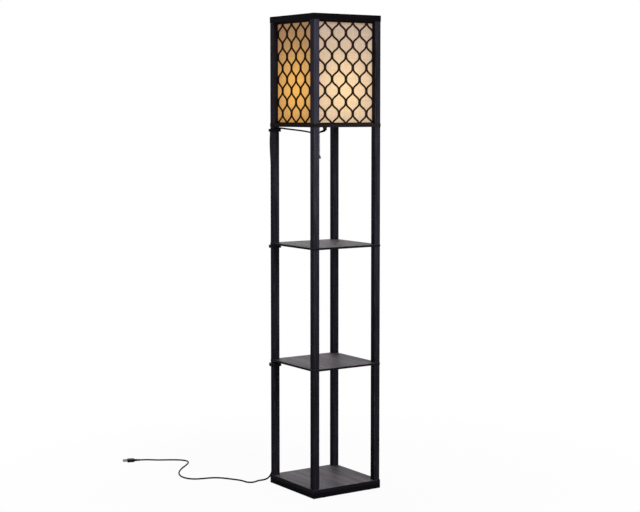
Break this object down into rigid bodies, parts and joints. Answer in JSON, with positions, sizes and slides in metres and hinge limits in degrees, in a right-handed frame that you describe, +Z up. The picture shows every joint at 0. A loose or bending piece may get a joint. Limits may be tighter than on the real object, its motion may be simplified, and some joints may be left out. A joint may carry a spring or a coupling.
{
  "type": "shelf floor lamp",
  "caption": "Square tower floor lamp with open shelves between slim posts, under a lattice shade lined with fabric, with a pull chain and a mains cord.",
  "frame": {"origin": "on the floor, under the middle of the tower", "axes": "+Z up the tower, -Y out of the front, +X to the right seen from the front"},
  "size_m": [0.5601, 0.827, 1.588],
  "materials": {
    "felt": "thin black felt",
    "black_wood": "charcoal black lacquer on square timber, satin",
    "shelf_board": "grey brown wood grain foil on board, black edges, satin",
    "lattice_board": "black stained board, matte",
    "liner_fabric": "warm off-white linen on a stiff backing",
    "steel": "zinc plated",
    "dowel_wood": "plain beech",
    "socket_metal": "black painted steel",
    "phenolic": "black moulded phenolic",
    "brass": "plain brass",
    "cap_metal": "bare aluminium",
    "bulb_glass": "frosted glass",
    "chain_metal": "black finished bead chain",
    "black_plastic": "black moulded plastic",
    "cord_jacket": "black flexible jacket"
  },
  "bodies": {
    "tower": {"base_bolts": "steel", "base_panel": "shelf_board", "base_skirt_back": "black_wood", "base_skirt_front": "black_wood", "base_skirt_left": "black_wood", "base_skirt_right": "black_wood", "cord_clips": "black_plastic", "cord_gland": "black_plastic", "cord_lead": "cord_jacket", "cord_run": "cord_jacket", "cross_bar": "black_wood", "cross_bar_screws": "steel", "foot_pads": "felt", "lamp_rail_back": "black_wood", "lamp_rail_front": "black_wood", "lamp_rail_left": "black_wood", "lamp_rail_right": "black_wood", "lattice_back": "lattice_board", "lattice_front": "lattice_board", "lattice_left": "lattice_board", "lattice_right": "lattice_board", "locknut": "steel", "nipple": "steel", "plug_blades": "brass", "plug_body": "black_plastic", "post_lower_back_left": "black_wood", "post_lower_back_right": "black_wood", "post_lower_front_left": "black_wood", "post_lower_front_right": "black_wood", "post_middle_back_left": "black_wood", "post_middle_back_right": "black_wood", "post_middle_front_left": "black_wood", "post_middle_front_right": "black_wood", "post_upper_back_left": "black_wood", "post_upper_back_right": "black_wood", "post_upper_front_left": "black_wood", "post_upper_front_right": "black_wood", "screw_shell": "brass", "shade_liners": "liner_fabric", "shade_post_back_left": "black_wood", "shade_post_back_right": "black_wood", "shade_post_front_left": "black_wood", "shade_post_front_right": "black_wood", "shade_studs": "steel", "shelf_lower": "shelf_board", "shelf_studs": "steel", "shelf_upper": "shelf_board", "socket_cap": "socket_metal", "socket_shell": "socket_metal", "switch_body": "phenolic", "top_dowels": "dowel_wood", "top_rail_back": "black_wood", "top_rail_front": "black_wood", "top_rail_left": "black_wood", "top_rail_right": "black_wood"},
    "chain_top": {"pull_chain_top": "chain_metal"},
    "chain_hanging": {"pull_chain": "chain_metal", "chain_bell": "chain_metal"},
    "bulb": {"bulb_cap": "cap_metal", "bulb_globe": "bulb_glass"}
  },
  "joints": [
    {"name": "chain_pull", "type": "slide", "parent": "tower", "child": "chain_top", "axis": [0, 0, -1], "range_m": [0, 0.01], "stiffness_N_per_m": 300, "springref_m": -0.003},
    {"name": "chain_swing", "type": "hinge", "parent": "chain_top", "child": "chain_hanging", "pos_m": [-0.021, 0, 1.222], "axis": [0, 1, 0], "range_deg": [-25, 25]},
    {"name": "bulb_turn", "type": "hinge", "parent": "tower", "child": "bulb", "pos_m": [0, 0, 1.29], "axis": [0, 0, 1], "range_deg": [0, 1800]}
  ]
}
